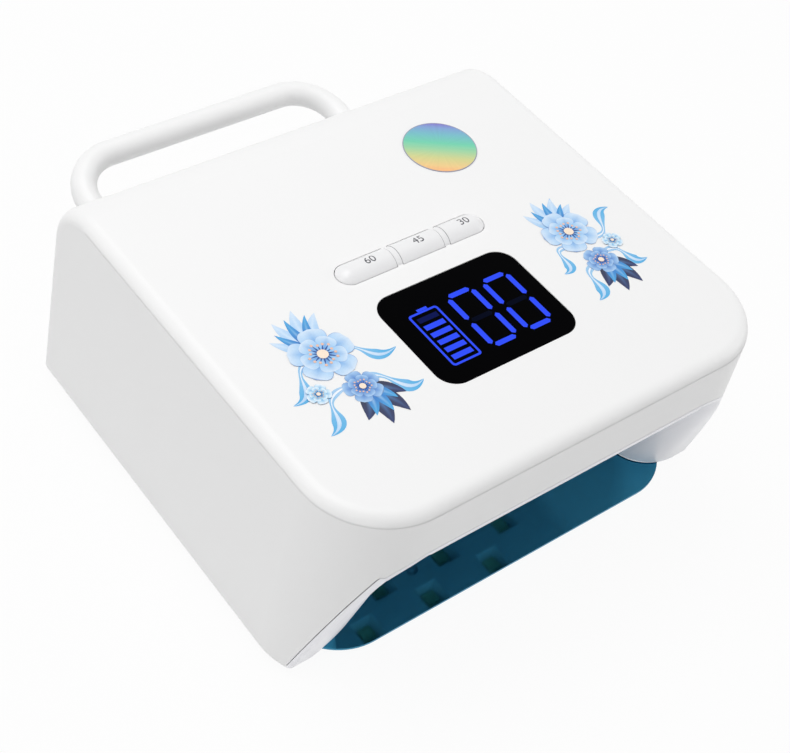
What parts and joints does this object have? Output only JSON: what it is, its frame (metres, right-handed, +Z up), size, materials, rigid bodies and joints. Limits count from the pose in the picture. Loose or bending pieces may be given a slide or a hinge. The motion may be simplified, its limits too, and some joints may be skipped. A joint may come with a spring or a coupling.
{
  "type": "uv nail lamp",
  "caption": "White cordless box lamp with an open front hand cavity, slide-out mirrored base plate, top timer keys, display window and a rear carrying handle.",
  "frame": {"origin": "on the table, under the middle of the lamp's bounding box, handle included", "axes": "+X to the lamp's right seen from the open mouth, +Y to the back where the handle is, +Z up; the mouth faces -Y"},
  "size_m": [0.2438, 0.2956, 0.1164],
  "materials": {
    "white_shell": "satin white",
    "liner": "pale lilac-grey white, satin",
    "white_handle": "satin white",
    "white_key": "satin white with small printed numbers",
    "smoked_window": "black gloss, figures shine through",
    "display": "lit blue figures",
    "circuit_board": "green solder mask",
    "white_board": "white solder mask on aluminium",
    "components": "black moulded parts",
    "plunger": "dull red-brown",
    "cell_wrap": "blue heat-shrink over steel",
    "tray": "black moulded",
    "nickel": "nickel plated",
    "steel": "zinc plated",
    "lead_jacket": "red insulated pair",
    "plug_housing": "natural nylon",
    "bead": "pale yellow-green gel over the chip",
    "sensor": "dark clear lens",
    "black_plastic": "black",
    "mirror_teal": "teal mirror with a bright cyan cut edge",
    "rubber_feet": "matt",
    "iridescent_foil": "rainbow holographic foil"
  },
  "bodies": {
    "housing": {"upper_housing": "white_shell", "reflector_liner": "liner", "base_ring": "white_shell", "housing_screws": "steel", "carry_handle": "white_handle", "handle_washers": "steel", "handle_screws": "steel", "display_window": "smoked_window", "display_module": "display", "control_board": "circuit_board", "board_parts": "components", "board_screws": "steel", "tact_switches": "components", "battery_cells": "cell_wrap", "battery_tray": "tray", "battery_contacts": "nickel", "tray_screws": "steel", "battery_lead": "lead_jacket", "led_board": "white_board", "led_lead": "lead_jacket", "connectors": "plug_housing", "side_lead_left": "lead_jacket", "side_lead_right": "lead_jacket", "ceiling_beads": "bead", "led_board_screws": "steel", "side_board_left": "white_board", "side_board_right": "white_board", "side_beads_left": "bead", "side_beads_right": "bead", "side_screws": "steel", "hand_sensor": "sensor", "charge_socket": "black_plastic", "charge_board": "circuit_board", "charge_screws": "steel", "charge_lead": "lead_jacket", "base_magnets": "nickel", "round_badge": "iridescent_foil"},
    "key_60_body": {"key_60": "white_key", "plunger_60": "plunger"},
    "key_45_body": {"key_45": "white_key", "plunger_45": "plunger"},
    "key_30_body": {"key_30": "white_key", "plunger_30": "plunger"},
    "base_plate": {"mirror_base_plate": "mirror_teal", "catch_discs": "nickel", "plate_feet": "rubber_feet"}
  },
  "joints": [
    {"name": "press_60", "type": "slide", "parent": "housing", "child": "key_60_body", "axis": [0, 0, -1], "range_m": [0, 0.0008], "stiffness_N_per_m": 800, "springref_m": -0.0005},
    {"name": "press_45", "type": "slide", "parent": "housing", "child": "key_45_body", "axis": [0, 0, -1], "range_m": [0, 0.0008], "stiffness_N_per_m": 800, "springref_m": -0.0005},
    {"name": "press_30", "type": "slide", "parent": "housing", "child": "key_30_body", "axis": [0, 0, -1], "range_m": [0, 0.0008], "stiffness_N_per_m": 800, "springref_m": -0.0005},
    {"name": "base_plate_slide", "type": "slide", "parent": "housing", "child": "base_plate", "axis": [0, -1, 0], "range_m": [0, 0.24]}
  ]
}
